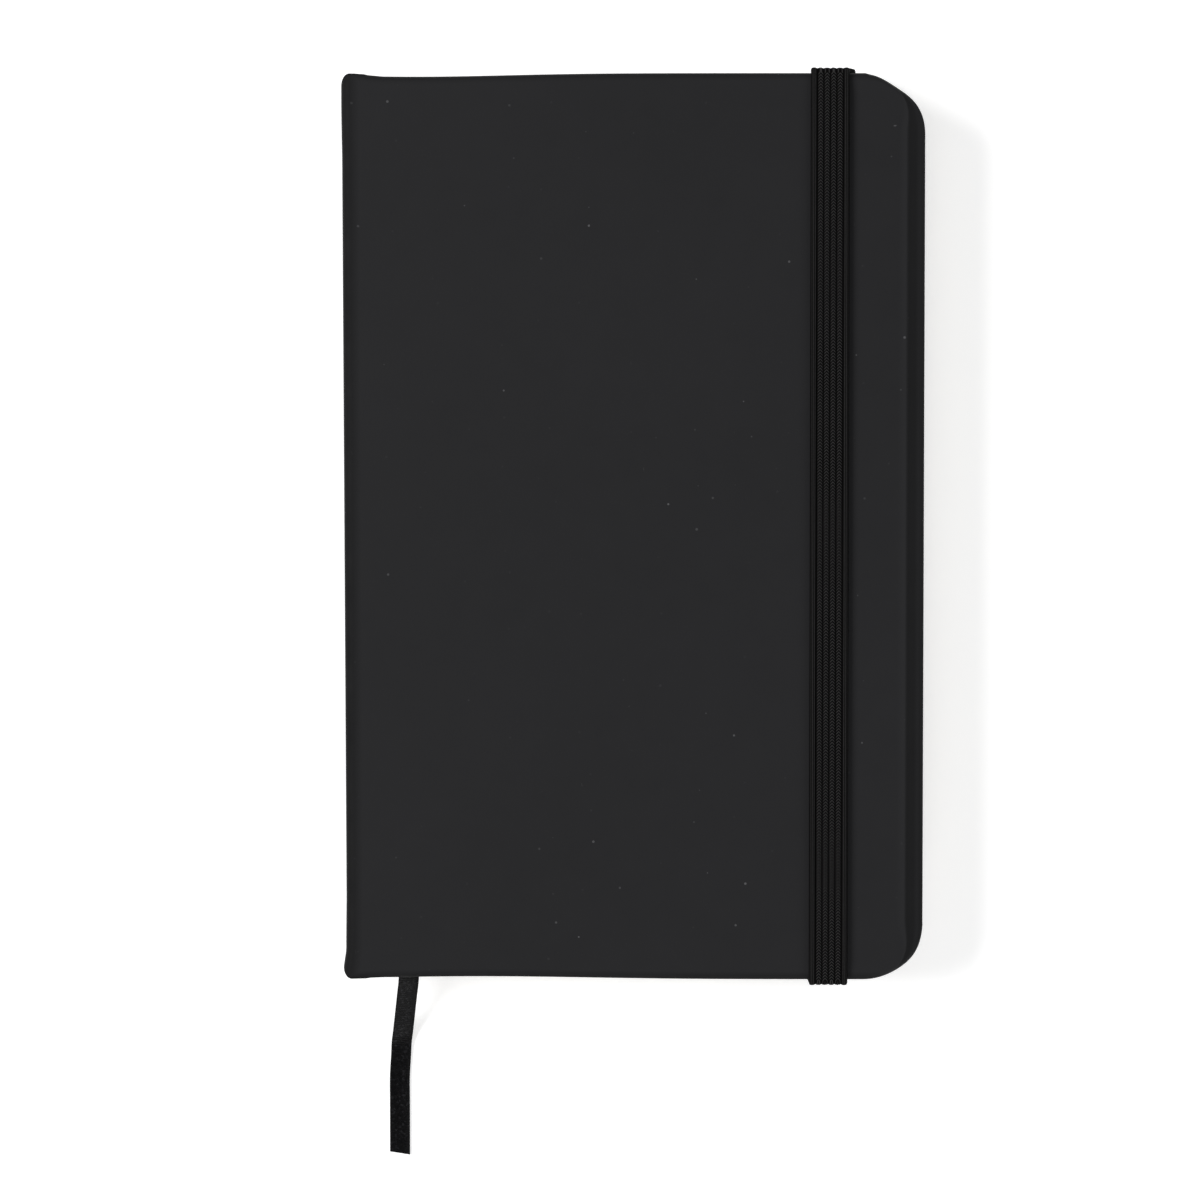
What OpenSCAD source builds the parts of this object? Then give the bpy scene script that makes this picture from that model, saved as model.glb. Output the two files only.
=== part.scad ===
// Pocket notebook with a wrapped hard case, a sewn text block, an elastic closure band and a ribbon.
// It lies closed on its back cover: +X is the fore edge, +Y the head, +Z the front cover.
// The origin is the middle of the back cover's outer face.

/* [Cover] */
// Width of the closed notebook, spine to fore edge
cover_w = 90; // [80:1:110]
// Height of the closed notebook, head to tail
cover_l = 141; // [125:1:180]
// Thickness of the leatherette skin
skin_t = 0.4; // [0.3:0.05:0.5]
// Thickness of the greyboard in both cover panels
board_t = 1.8; // [1.6:0.1:2.4]
// Thickness of the board strip in the spine
spine_board_t = 1.2; // [0.8:0.1:1.4]
// Radius of the two corners at the fore edge
fore_corner_r = 9.3; // [6:0.1:12]
// Radius of the two corners at the spine
spine_corner_r = 1.3; // [0.6:0.1:2]
// Width of the skin folded in behind the board
turn_in_w = 12; // [11:1:16]
// Gap between the spine and the edge of each board, where the skin bends
joint_gap = 2; // [1.6:0.1:3]

/* [Pages] */
// Leaves in one section
section_leaves = 8; // [6:1:12]
// Thickness of one leaf
leaf_t = 0.09; // [0.08:0.005:0.12]
// Thickness of the endpaper
endpaper_t = 0.12; // [0.1:0.01:0.15]
// How far the cover stands out past the pages
square_w = 3; // [2:0.5:4]

/* [Elastic band] */
// Width of the band
strap_w = 6; // [5:0.1:8]
// Thickness of the band
strap_t = 1; // [0.8:0.05:1.1]
// Distance from the fore edge to the middle of the band
strap_inset = 14.8; // [12:0.1:20]
// Distance from the head or tail edge to the slot in the back cover
slot_inset = 12; // [8:1:20]
// Length of each glued end inside the back cover
tab_l = 15; // [10:1:25]

/* [Ribbon] */
// Width of the ribbon
ribbon_w = 3.2; // [3:0.1:4]
// Thickness of the ribbon
ribbon_t = 0.2; // [0.15:0.01:0.22]

/* [Hidden] */
$fn = 96;
eps = 0.01;

// Folded sections in each half of the text block: the node list has one name for each
half_sections = 6;

// Small clearances
skin_gap = 0.1;          // between the spine skin and a cover skin
leaf_gap = 0.03;         // of air between neighbouring sections
endpaper_gap = 0.05;     // between a pastedown and its free leaf
ribbon_gap = 0.3;        // for the ribbon, in the middle of the text block
strap_gap = 0.05;        // under the band, where it crosses a moving piece

// Heights in the closed notebook, from the back cover up
panel_t = skin_t + board_t;
pastedown_t = 0.15;
flyleaf_z = panel_t + pastedown_t + endpaper_gap;
block_z = flyleaf_z + endpaper_t + leaf_gap;
section_pitch = section_leaves * leaf_t;
mid_z = block_z + half_sections * section_pitch + ribbon_gap / 2;
closed_t = 2 * mid_z;

// Places across the notebook, from the spine to the fore edge
spine_x = -cover_w / 2;
fore_x = cover_w / 2;
spine_board_x = spine_x + skin_t;
panel_x = spine_board_x + skin_gap;
lining_x = spine_board_x + spine_board_t + skin_gap;
lining_t = 0.25;
mull_x = lining_x + lining_t;
mull_t = 0.2;
thread_r = 0.2;
thread_x = mull_x + mull_t + thread_r;
block_x = thread_x + thread_r + leaf_gap;
block_fore_x = fore_x - square_w;
board_x = spine_board_x + spine_board_t + joint_gap;
strap_x = fore_x - strap_inset;

// Lengths from tail to head
block_l = cover_l - 2 * square_w;
block_corner_r = fore_corner_r - square_w;
fold_corner_r = 0.3;
board_inset = skin_t;
board_corner_r = fore_corner_r - board_inset;
window_corner_r = 2;
pastedown_inset = 3;
pastedown_corner_r = fore_corner_r - pastedown_inset;
lining_end = 2;
spine_lining_l = block_l - 2 * lining_end;

// Elastic band
edge_y = cover_l / 2;
slot_y = edge_y - slot_inset;
slot_clear = 0.1;
leg_y = edge_y + strap_gap;
strap_turn_r = strap_t + strap_gap;

// Sewing stations, from the middle of the spine
station_y = [-45, -15, 15, 45];
thread_end = 0.3;

// Ribbon: the held length runs down the middle of the pages and leaves them at the tail
ribbon_head = [block_x + 1.8, block_l / 2 - 1];
ribbon_exit = [-35.5, -block_l / 2];
glued_end_l = 14;
glued_end_y = block_l / 2 - glued_end_l - 1;
// Route of the free end, from the tail edge of the pages to its tip
ribbon_route = [
    [-35.5, -67.5, 7.0],
    [-35.5, -69.0, 6.9],
    [-35.6, -70.5, 6.6],
    [-35.7, -72.0, 6.1],
    [-35.9, -73.5, 5.4],
    [-36.1, -75.0, 4.5],
    [-36.3, -76.5, 3.5],
    [-36.5, -78.0, 2.5],
    [-36.7, -79.5, 1.6],
    [-36.9, -81.0, 0.9],
    [-37.1, -82.5, 0.48],
    [-37.2, -84.5, 0.3],
    [-37.4, -88.0, 0.25],
    [-37.4, -92.0, 0.25],
    [-37.4, -96.0, 0.25],
    [-37.4, -100.3, 0.25]
];

// ---- outlines ----

// Rectangle with its own radius at the spine end and at the fore end
module outline(x0, x1, length, spine_r, fore_r) {
    translate([x0 + spine_r, -length / 2])
        square([x1 - fore_r - x0 - spine_r, length]);
    translate([x0, -length / 2 + spine_r])
        square([x1 - fore_r - x0, length - 2 * spine_r]);
    translate([x0 + spine_r, -length / 2 + fore_r])
        square([x1 - x0 - spine_r, length - 2 * fore_r]);
    for (side = [-1, 1]) {
        translate([x0 + spine_r, side * (length / 2 - spine_r)])
            circle(r = spine_r);
        translate([x1 - fore_r, side * (length / 2 - fore_r)])
            circle(r = fore_r);
    }
}

// Outer edge of the whole notebook, between two distances across it
module case_outline(x0, x1) {
    intersection() {
        outline(spine_x, fore_x, cover_l, spine_corner_r, fore_corner_r);
        translate([x0, -cover_l])
            square([x1 - x0, 2 * cover_l]);
    }
}

// A layer of the notebook between two heights
module layer(z0, z1) {
    translate([0, 0, z0])
        linear_extrude(height = z1 - z0)
            children();
}

// The front half is the back half turned over
module front_half() {
    translate([0, 0, closed_t])
        mirror([0, 0, 1])
            children();
}

// The head end and the tail end alike
module at_tail() {
    mirror([0, 1, 0])
        children();
}

// ---- case ----

// Greyboard with a shallow step all round its inner face for the turned-in skin
module panel_board() {
    layer(skin_t, panel_t - skin_t)
        outline(board_x, fore_x - board_inset, cover_l - 2 * board_inset, window_corner_r, board_corner_r);
    layer(panel_t - skin_t - eps, panel_t)
        outline(board_x, fore_x - turn_in_w, cover_l - 2 * turn_in_w, window_corner_r, window_corner_r);
}

// Skin round one cover panel: outer sheet, three wrapped edges and the turn-ins.
// Between the spine and the board only the outer sheet is left, so that it can bend.
module panel_skin() {
    difference() {
        layer(0, panel_t)
            case_outline(panel_x, fore_x);
        layer(skin_t, panel_t + eps)
            translate([spine_x, -cover_l])
                square([board_x - spine_x, 2 * cover_l]);
        layer(skin_t, panel_t - skin_t)
            outline(
                spine_x - fore_corner_r, fore_x - board_inset, cover_l - 2 * board_inset,
                window_corner_r, board_corner_r
            );
        layer(panel_t - skin_t - eps, panel_t + eps)
            outline(
                spine_x - fore_corner_r, fore_x - turn_in_w, cover_l - 2 * turn_in_w,
                window_corner_r, window_corner_r
            );
    }
}

// Endpaper glued over the board and the turn-ins
module pastedown() {
    layer(panel_t, panel_t + pastedown_t)
        outline(
            block_x, fore_x - pastedown_inset, cover_l - 2 * pastedown_inset,
            fold_corner_r, pastedown_corner_r
        );
}

// One leaf or a stack of leaves, cut to the page size
module page_stack(z0, thickness) {
    layer(z0, z0 + thickness)
        outline(block_x, block_fore_x, block_l, fold_corner_r, block_corner_r);
}

module flyleaf() {
    page_stack(flyleaf_z, endpaper_t);
}

// Space that the band's end takes up at the head: the channel, the slot and the glued end
module anchor_space(clear) {
    width = strap_w + 2 * clear;
    translate([strap_x - width / 2, slot_y - eps, -clear])
        cube([width, slot_inset + 2 * strap_t, strap_t + clear + strap_gap]);
    translate([strap_x - width / 2, slot_y - strap_t - clear, -clear])
        cube([width, strap_t + clear, panel_t + 2 * clear]);
    translate([strap_x - width / 2, slot_y - tab_l - clear, panel_t - strap_t - clear])
        cube([width, tab_l, strap_t + 2 * clear]);
}

module strap_spaces() {
    anchor_space(slot_clear);
    at_tail()
        anchor_space(slot_clear);
}

module back_board() {
    color("dimgray")
        difference() {
            panel_board();
            strap_spaces();
        }
}

module back_skin() {
    color([0.16, 0.16, 0.17])
        difference() {
            panel_skin();
            strap_spaces();
        }
}

module back_pastedown() {
    color("ivory")
        pastedown();
}

module back_flyleaf() {
    color("ivory")
        flyleaf();
}

module front_board() {
    color("dimgray")
        front_half()
            panel_board();
}

module front_skin() {
    color([0.16, 0.16, 0.17])
        front_half()
            panel_skin();
}

module front_pastedown() {
    color("ivory")
        front_half()
            pastedown();
}

module front_flyleaf() {
    color("ivory")
        front_half()
            flyleaf();
}

// ---- spine ----

// Upright strip along the spine, open to the cover skins at its two long edges
module spine_skin() {
    color([0.14, 0.14, 0.15])
        layer(0, closed_t)
            case_outline(spine_x, spine_board_x);
}

module spine_strip(x0, thickness, length, edge_z) {
    translate([x0, -length / 2, edge_z])
        cube([thickness, length, closed_t - 2 * edge_z]);
}

module spine_board() {
    color("dimgray")
        spine_strip(spine_board_x, spine_board_t, cover_l - 4 * skin_t, skin_t + 2 * skin_gap);
}

module spine_lining() {
    color("tan")
        spine_strip(lining_x, lining_t, spine_lining_l, block_z);
}

module mull() {
    color("wheat")
        spine_strip(mull_x, mull_t, spine_lining_l, block_z);
}

// Linked stitches down the folds of the sections, one chain at each station
module sewing_thread() {
    color("white")
        for (y = station_y)
            translate([thread_x, y, block_z + thread_end])
                cylinder(r = thread_r, h = closed_t - 2 * (block_z + thread_end));
}

// ---- pages ----

// Sections are counted from the back cover to the front cover
module section(number) {
    in_front = number > half_sections;
    from_cover = in_front ? 2 * half_sections - number : number - 1;
    z0 = block_z + from_cover * section_pitch;
    color([0.96 - 0.01 * (number % 2), 0.94, 0.87])
        if (in_front)
            front_half()
                page_stack(z0, section_pitch - leaf_gap);
        else
            page_stack(z0, section_pitch - leaf_gap);
}

// ---- elastic band ----

// Quarter turn of the band round an edge that runs along X, at y and z
module strap_turn(y, z, upper) {
    translate([strap_x - strap_w / 2, y, z])
        rotate([0, 90, 0])
            intersection() {
                difference() {
                    cylinder(r = strap_turn_r, h = strap_w);
                    translate([0, 0, -eps])
                        cylinder(r = strap_gap, h = strap_w + 2 * eps);
                }
                translate([upper ? -2 * strap_turn_r : 0, 0, -eps])
                    cube([2 * strap_turn_r, 2 * strap_turn_r, strap_w + 2 * eps]);
            }
}

module strap_band() {
    color([0.1, 0.1, 0.1]) {
        translate([strap_x - strap_w / 2, -edge_y, closed_t + strap_gap])
            cube([strap_w, cover_l, strap_t]);
        strap_turn(edge_y, closed_t, true);
        at_tail()
            strap_turn(edge_y, closed_t, true);
    }
}

module strap_leg() {
    color([0.1, 0.1, 0.1])
        translate([strap_x - strap_w / 2, leg_y, strap_turn_r])
            cube([strap_w, strap_t, closed_t - strap_turn_r]);
}

// End of the band: along the channel, up through the slot and glued down inside the board
module strap_anchor() {
    color([0.1, 0.1, 0.1]) {
        strap_turn(edge_y, strap_turn_r, false);
        translate([strap_x - strap_w / 2, slot_y - strap_t, 0])
            cube([strap_w, slot_inset + strap_t, strap_t]);
        translate([strap_x - strap_w / 2, slot_y - strap_t, 0])
            cube([strap_w, strap_t, panel_t]);
        translate([strap_x - strap_w / 2, slot_y - tab_l, panel_t - strap_t])
            cube([strap_w, tab_l, strap_t]);
    }
}

module strap_head_leg() {
    strap_leg();
}

module strap_tail_leg() {
    at_tail()
        strap_leg();
}

module strap_head_anchor() {
    strap_anchor();
}

module strap_tail_anchor() {
    at_tail()
        strap_anchor();
}

// ---- ribbon ----

// End glued to the back of the text block, below the head
module ribbon_glued_end() {
    color([0.08, 0.08, 0.09])
        translate([thread_x - ribbon_t / 2, glued_end_y, mid_z - ribbon_w / 2])
            cube([ribbon_t, glued_end_l, ribbon_w]);
}

// Length between the two halves of the text block
module ribbon_held() {
    half_w = ribbon_w / 2;
    color([0.08, 0.08, 0.09])
        layer(mid_z - ribbon_t / 2, mid_z + ribbon_t / 2)
            polygon([
                [ribbon_head.x - half_w, ribbon_head.y],
                [ribbon_exit.x - half_w, ribbon_exit.y],
                [ribbon_exit.x + half_w, ribbon_exit.y],
                [ribbon_head.x + half_w, ribbon_head.y]
            ]);
}

function unit(v) = v / norm(v);

// Direction of a route at one of its points
function route_dir(route, i) =
    unit(route[min(i + 1, len(route) - 1)] - route[max(i - 1, 0)]);

// Eight-sided flat ring across the route: wide from side to side, thin through the ribbon
function ribbon_ring(point, dir) =
    let (side = unit(cross(dir, [0, 0, 1])), up = cross(side, dir))
    [for (k = [0:7])
        let (a = 45 * k + 22.5)
        point + side * (ribbon_w / 2 * cos(a) / cos(22.5)) + up * (ribbon_t / 2 * sin(a) / cos(22.5))
    ];

// Closed tube through a ring at every point of the route
module swept_ribbon(route) {
    rings = len(route);
    points = [for (i = [0:rings - 1]) each ribbon_ring(route[i], route_dir(route, i))];
    sides = [
        for (i = [0:rings - 2], k = [0:7])
            [8 * i + k, 8 * i + (k + 1) % 8, 8 * (i + 1) + (k + 1) % 8, 8 * (i + 1) + k]
    ];
    start_cap = [[for (k = [7:-1:0]) k]];
    end_cap = [[for (k = [0:7]) 8 * (rings - 1) + k]];
    polyhedron(points = points, faces = concat(sides, start_cap, end_cap), convexity = 6);
}

module ribbon_tail() {
    color([0.08, 0.08, 0.09])
        swept_ribbon(ribbon_route);
}

// ---- nodes ----

back_board();
back_skin();
back_pastedown();
back_flyleaf();
spine_board();
spine_skin();
spine_lining();
mull();
sewing_thread();
front_board();
front_skin();
front_pastedown();
front_flyleaf();
section(1);  // section_01
section(2);  // section_02
section(3);  // section_03
section(4);  // section_04
section(5);  // section_05
section(6);  // section_06
section(7);  // section_07
section(8);  // section_08
section(9);  // section_09
section(10);  // section_10
section(11);  // section_11
section(12);  // section_12
strap_band();
strap_head_leg();
strap_tail_leg();
strap_head_anchor();
strap_tail_anchor();
ribbon_glued_end();
ribbon_held();
ribbon_tail();
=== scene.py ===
"""Black pocket notebook, closed on its back cover: leatherette case, sewn pages, elastic band, ribbon.

Row frame: +X fore edge, +Y head, +Z front cover, origin under the middle of the back cover. Metres.
"""

import math

import bmesh
import bpy
import numpy as np
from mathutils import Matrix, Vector


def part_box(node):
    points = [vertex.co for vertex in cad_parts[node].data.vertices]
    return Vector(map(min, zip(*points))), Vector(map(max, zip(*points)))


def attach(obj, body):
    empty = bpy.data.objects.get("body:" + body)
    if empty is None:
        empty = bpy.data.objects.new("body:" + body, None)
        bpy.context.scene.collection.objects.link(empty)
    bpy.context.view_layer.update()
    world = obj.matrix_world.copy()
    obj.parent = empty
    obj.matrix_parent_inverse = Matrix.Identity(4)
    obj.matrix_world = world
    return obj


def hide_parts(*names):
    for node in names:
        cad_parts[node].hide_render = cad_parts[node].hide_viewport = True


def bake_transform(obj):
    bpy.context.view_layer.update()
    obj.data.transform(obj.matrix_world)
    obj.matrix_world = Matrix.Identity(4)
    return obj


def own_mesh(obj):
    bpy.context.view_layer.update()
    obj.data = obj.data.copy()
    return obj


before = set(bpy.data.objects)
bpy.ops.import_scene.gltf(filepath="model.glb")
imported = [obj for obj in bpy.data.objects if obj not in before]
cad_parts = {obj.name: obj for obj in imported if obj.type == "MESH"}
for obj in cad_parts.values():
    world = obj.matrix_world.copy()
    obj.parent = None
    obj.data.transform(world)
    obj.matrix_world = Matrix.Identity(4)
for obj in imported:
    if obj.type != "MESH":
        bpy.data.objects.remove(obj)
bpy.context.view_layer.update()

MM = 0.001
SEED = 7
rng = np.random.default_rng(SEED)

# ---- sizes, from the frame


def low(node):
    return np.array(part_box(node)[0], float)


def high(node):
    return np.array(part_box(node)[1], float)


def middle(node):
    return (low(node) + high(node)) / 2


def extent(node):
    return high(node) - low(node)


CLOSED_T = high("front_skin")[2]
SPINE_X = low("spine_skin")[0]
FORE_X = high("front_skin")[0]
HALF_L = high("front_skin")[1]
PANEL_T = high("back_skin")[2]
BOARD_X = low("back_board")[0]
PAGE_X0 = low("section_01")[0]
PAGE_X1 = high("section_01")[0]
PAGE_Y = high("section_01")[1]
STRAP_X = middle("strap_band")[0]
STRAP_W = extent("strap_band")[0]
STRAP_T = extent("strap_head_leg")[1]
STRAP_GAP = low("strap_head_leg")[1] - HALF_L
MID_Z = CLOSED_T / 2

FORE_R = 9.3 * MM  # corners at the fore edge
SPINE_R = 1.3 * MM  # corners at the spine
SHRINK_FROM = 50 * MM  # the case gets shorter for the spine corners between here and its ends
SHRINK_OVER = 15 * MM
EDGE_R = 0.8 * MM  # wrapped edge of a cover, outside
INNER_EDGE_R = 0.5 * MM  # the same edge, inside
BEND_R = 1.4 * MM  # skin bending from a cover into the spine
HINGE_T = 0.8 * MM  # skin and its lining where they bend
HINGE_H = 1.6 * MM  # height of the bend below the front cover's skin
WRAP_T = 1.68 * MM  # skin round the spine board, with its turn-in
SKIN_T = 0.45 * MM  # the skin and its glue, over a board
FRONT_FLAT = 0.72 * MM  # how far the front cover's fore corner is flattened at the head
BACK_FLAT = 0.30 * MM
PAGE_R = 6.3 * MM  # fore corners of the pages
GUTTER_X = -37.3 * MM  # pages bend between this line and the spine
OPEN_X = SPINE_X - 0.1 * MM  # axis that the back cover and the spine open on
OPEN_Z = -0.1 * MM
SLOT_INSET = 12 * MM  # strap slot, from the head or tail edge
TAB_L = 15 * MM  # glued end of the strap
SECTIONS = 12
SHEETS_SHOWN = 4  # folded sheets drawn in a section
PAPER_SHARE = 0.93  # share of its room that a drawn sheet fills
UNEVEN_FORE = 0.14  # most that a sheet is short of the fore edge, in millimetres
UNEVEN_END = 0.10  # and of the head and tail
RULE_SPACING = 6 * MM
FIRST_RULE = 56 * MM
LAP_T = 0.02 * MM  # thin lap of the front endpaper over its hinge
RIBS = 6  # ribs across the elastic: four plaited, and a plain one at each edge
RIB_SAMPLES = 8
STITCHES_PER_MM = 2.1  # plaited stitches along the elastic
STITCH_SLANT = 1.1  # millimetres that a stitch leans, from the middle of a rib to its edge
SHARP_DEG = 40  # a crease sharper than this stays sharp
WOVEN_SHARP_DEG = 50

# How finely the shapes are cut
STRAIGHT_CUTS = 36
ARC_CUTS = 22
BEND_CUTS = 10
FOLD_CUTS = 6
TURN_CUTS = 8
SPAN_CUTS = 5
HELD_CUTS = 80
GUTTER_COLUMNS = 13
STRAP_STEP = 0.12 * MM

# Rings of a cover's skin on its outer and inner face, in millimetres in from its outline
OUTER_RINGS = [12, 9.3, 7, 5.6, 4.8, 4.2, 3.8, 3.5, 3.25, 3.05]
OUTER_RINGS += [2.85, 2.65, 2.45, 2.25, 2.05, 1.8, 1.5, 1.2, 0.95]
INNER_RINGS = [1.2, 3.0, 7.0, 12.0]

# Side, depth, middle and width of the dip in the head and the tail edge, and how far the corner at the
# spine stands out, in millimetres
END_DIPS = ((1, 0.55, -34, 20, 0.34), (-1, 0.47, -24, 24, 0.10))
# Side, share of the flattening, and its middle and width round the fore corner, in degrees
CORNER_PULLS = ((1, 1.0, 57, 24), (-1, -0.4, 33, 20))
BAND_GONE_DEG = 68  # how far round a fore corner the band of the fore edge has narrowed away
STEP_AT = 2.95  # millimetres in from the fore edge where the skin steps down

# ---- camera and ribbon first

RIBBON_W = 3.2 * MM
RIBBON_T = 0.16 * MM
RIBBON_HEAD_X = 1.8 * MM  # from the fold to the ribbon, at the head
SLANT_OVER = 3 * MM  # length over which the ribbon's cut end turns slanted
RIBBON_ROUTE = [
    (-35.5, -67.5, 7.0),
    (-35.5, -69.0, 6.9),
    (-35.6, -70.5, 6.6),
    (-35.7, -72.0, 6.1),
    (-35.9, -73.5, 5.4),
    (-36.1, -75.0, 4.5),
    (-36.3, -76.5, 3.5),
    (-36.5, -78.0, 2.5),
    (-36.7, -79.5, 1.6),
    (-36.9, -81.0, 0.9),
    (-37.1, -82.5, 0.48),
    (-37.2, -84.5, 0.3),
    (-37.4, -88.0, 0.25),
    (-37.4, -92.0, 0.25),
    (-37.4, -96.0, 0.25),
    (-37.4, -100.3, 0.25),
]
# From the spine over the head of the pages, from their middle height
OVER_HEAD_ROUTE = [
    (-42.65, 66.5, 0),
    (-42.7, 67.4, 0),
    (-42.5, 68.3, 0),
    (-41.9, 68.6, 0),
    (-41.2, 68.2, 0),
    (-40.7, 67.3, 0),
    (-40.62, 66.5, 0),
]


def make_camera():
    """Above the notebook, a little towards the head, looking down on the front cover."""
    view_width = 186.6 * MM
    distance = 600 * MM
    lean = math.radians(2.5)
    target = Vector((-5.4 * MM, -11.1 * MM, CLOSED_T))
    data = bpy.data.cameras.new("camera")
    data.sensor_width = 36
    data.lens = data.sensor_width * distance / view_width
    data.clip_start = 10 * MM
    camera = bpy.data.objects.new("camera", data)
    bpy.context.collection.objects.link(camera)
    camera.location = target + distance * Vector((0, math.sin(lean), math.cos(lean)))
    camera.rotation_euler = (-lean, 0, 0)
    bpy.context.scene.camera = camera


make_camera()

# ---- node helpers


class Nodes:
    """A material's node tree, written in short calls."""

    def __init__(self, name, roughness=0.5, colour=(0.5, 0.5, 0.5), specular=0.5):
        self.material = bpy.data.materials.new(name)
        self.material.use_nodes = True
        self.tree = self.material.node_tree
        self.shader = self.tree.nodes["Principled BSDF"]
        self.shader.inputs["Roughness"].default_value = roughness
        self.shader.inputs["Base Color"].default_value = (*colour, 1)
        self.shader.inputs["Specular IOR Level"].default_value = specular

    def add(self, kind, **settings):
        node = self.tree.nodes.new("ShaderNode" + kind)
        for key, value in settings.items():
            setattr(node, key, value)
        return node

    def link(self, source, target):
        self.tree.links.new(source, target)

    def put(self, socket, value):
        if isinstance(value, bpy.types.NodeSocket):
            self.link(value, socket)
        else:
            socket.default_value = value

    def math(self, operation, a, b=0.0):
        node = self.add("Math", operation=operation)
        self.put(node.inputs[0], a)
        self.put(node.inputs[1], b)
        return node.outputs[0]

    def times(self, first, *others):
        for other in others:
            first = self.math("MULTIPLY", first, other)
        return first

    def plus(self, first, *others):
        for other in others:
            first = self.math("ADD", first, other)
        return first

    def zigzag(self, value):
        """Runs evenly between 0 and a half, and back, once for each unit of the value."""
        return self.math("PINGPONG", value, 0.5)

    def position(self):
        return self.add("TexCoord").outputs["Object"]

    def uv(self):
        return self.add("TexCoord").outputs["UV"]

    def split(self, vector):
        node = self.add("SeparateXYZ")
        self.put(node.inputs[0], vector)
        return node.outputs

    def join(self, x, y, z=0.0):
        node = self.add("CombineXYZ")
        for socket, value in zip(node.inputs, (x, y, z)):
            self.put(socket, value)
        return node.outputs[0]

    def noise(self, vector, scale, detail=3.0, rough=0.5):
        node = self.add("TexNoise")
        self.put(node.inputs["Vector"], vector)
        node.inputs["Scale"].default_value = scale
        node.inputs["Detail"].default_value = detail
        node.inputs["Roughness"].default_value = rough
        return node.outputs["Fac"]

    def cells(self, vector, scale, output="Distance", dimensions="3D"):
        node = self.add("TexVoronoi", voronoi_dimensions=dimensions)
        self.put(node.inputs["Vector"], vector)
        node.inputs["Scale"].default_value = scale
        return node.outputs[output]

    def ramp(self, value, low_value, high_value, out_low=0.0, out_high=1.0):
        node = self.add("MapRange", clamp=True)
        sockets = ("Value", "From Min", "From Max", "To Min", "To Max")
        for socket, number in zip(sockets, (value, low_value, high_value, out_low, out_high)):
            self.put(node.inputs[socket], number)
        return node.outputs[0]

    def mix(self, factor, a, b):
        node = self.add("Mix", data_type="RGBA")
        self.put(node.inputs[0], factor)
        for socket, colour in ((node.inputs[6], a), (node.inputs[7], b)):
            self.put(socket, (*colour, 1) if isinstance(colour, tuple) else colour)
        return node.outputs[2]

    def colour(self, value):
        self.link(value, self.shader.inputs["Base Color"])

    def roughness(self, value):
        self.link(value, self.shader.inputs["Roughness"])

    def bump(self, *layers):
        """Each layer is (height in metres as a socket, strength)."""
        last = None
        for height, strength in layers:
            node = self.add("Bump")
            node.inputs["Strength"].default_value = strength
            node.inputs["Distance"].default_value = 1.0
            self.link(height, node.inputs["Height"])
            if last is not None:
                self.link(last, node.inputs["Normal"])
            last = node.outputs["Normal"]
        self.link(last, self.shader.inputs["Normal"])


# ---- materials

SKIN_DULL = (0.0128, 0.0128, 0.0138)
SKIN_FAIR = (0.0142, 0.0141, 0.0153)
SKIN_PAINTED_HIGHLIGHT = (0.0225, 0.0224, 0.0240)
SKIN_PAINTED_BAND_SHADE = (0.0016, 0.0016, 0.0017)
SKIN_PAINTED_RIM_SHADE = (0.0008, 0.0008, 0.0009)
DUST = (0.30, 0.30, 0.31)
ELASTIC_PAINTED_SHADE = (0.0004, 0.0004, 0.0004)
ELASTIC_STITCH = (0.0385, 0.0375, 0.0375)
RIBBON_DARK = (0.0003, 0.0003, 0.0004)
# colour that the ribbon's painted glints run up to
RIBBON_LIT = (0.0160, 0.0160, 0.0175)
PAGE_IVORY = (0.84, 0.79, 0.67)
ENDPAPER_IVORY = (0.80, 0.75, 0.63)
PAGE_EDGE_SHADE = (0.62, 0.57, 0.46)
RULING = (0.36, 0.37, 0.39)
BOARD_DARK = (0.27, 0.26, 0.24)
BOARD_LIGHT = (0.36, 0.35, 0.32)
BOARD_FLECK = (0.16, 0.15, 0.14)
KRAFT_DARK = (0.42, 0.31, 0.19)
KRAFT_LIGHT = (0.58, 0.46, 0.30)
GLUE = (0.46, 0.40, 0.29)
COTTON = (0.82, 0.79, 0.70)
THREAD_PAINTED_SHADE = (0.55, 0.54, 0.50)
THREAD_LIGHT = (0.90, 0.89, 0.86)


def skin_material():
    """Matt black leatherette: almost smooth, with painted shade along the fore edge band and round the
    outline, a painted highlight just inside the fore edge's step, and a little dust.
    """
    n = Nodes("leatherette", specular=0.16)
    place = n.position()
    across, along, _ = n.split(n.uv())
    inward = n.math("SUBTRACT", FORE_X / MM, across)
    base = n.mix(n.ramp(n.noise(place, 35), 0.25, 0.75), SKIN_DULL, SKIN_FAIR)
    # Painted highlight: a lighter line in colour just inside the step along the fore edge.
    painted_highlight = n.times(n.ramp(inward, 4.2, 3.1), n.ramp(inward, 2.75, STEP_AT), 0.35)
    base = n.mix(painted_highlight, base, SKIN_PAINTED_HIGHLIGHT)
    # Painted shade: the band along the fore edge, outside its step, is darkened in colour, less so within a
    # millimetre of the rim.
    painted_band_shade = n.times(n.ramp(inward, STEP_AT, 2.55), n.ramp(inward, 1.5, 1.0, 0.62, 0.34))
    base = n.mix(painted_band_shade, base, SKIN_PAINTED_BAND_SHADE)
    # Painted shade along the cover's outline and at the bend into the spine, most at the tail.
    painted_rim = rim(n, inward, across, along)
    base = n.mix(painted_rim, base, SKIN_PAINTED_RIM_SHADE)
    n.colour(n.mix(lint(n, across, along), base, DUST))
    matt = n.ramp(n.noise(place, 260), 0.3, 0.7, 0.53, 0.60)
    n.roughness(n.plus(matt, n.times(painted_rim, 0.25)))
    grain = n.times(n.cells(place, 3600), 0.03 * MM)
    pores = n.times(n.noise(place, 1500, 4, 0.6), 0.02 * MM)
    n.bump((grain, 0.25), (pores, 0.4))
    return n.material


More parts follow.
